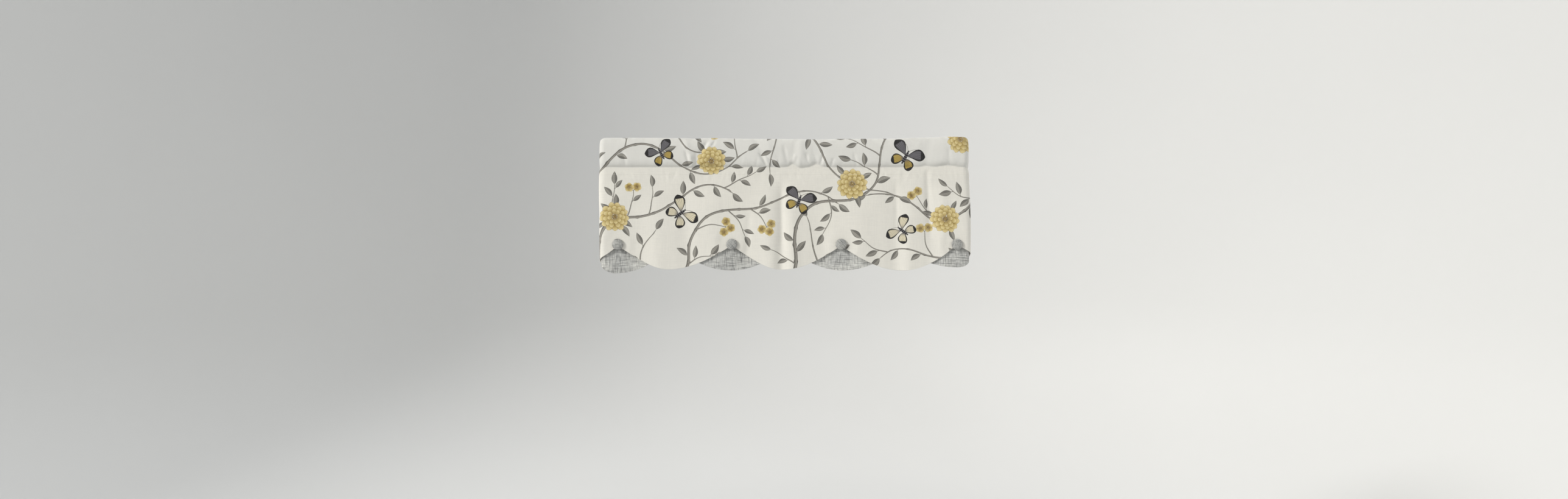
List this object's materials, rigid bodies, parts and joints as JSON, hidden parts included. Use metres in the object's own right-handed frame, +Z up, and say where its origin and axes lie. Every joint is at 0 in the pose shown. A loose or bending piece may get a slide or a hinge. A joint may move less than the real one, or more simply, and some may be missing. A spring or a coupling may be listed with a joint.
{
  "type": "window valance",
  "caption": "Printed window valance with a rod pocket, a scalloped hem over a crosshatch petticoat and covered buttons at the hem's points.",
  "frame": {"origin": "middle of the top edge, where the pocket lies over its rod", "axes": "+X to the right along the window as seen from the room, +Y back towards the wall, +Z up; the face looks along -Y"},
  "size_m": [1.1913, 0.0639, 0.4364],
  "materials": {
    "printed_cloth": "matte cream cotton-linen duck with a grey and ochre print",
    "crosshatch_cloth": "matte slub weave, dark grey threads crossing off-white ones",
    "button_cloth": "the crosshatch cloth drawn over a button mould"
  },
  "bodies": {
    "root": {"front_panel": "printed_cloth", "petticoat": "crosshatch_cloth", "button_1": "button_cloth", "button_2": "button_cloth", "button_3": "button_cloth", "button_4": "button_cloth"}
  },
  "joints": []
}
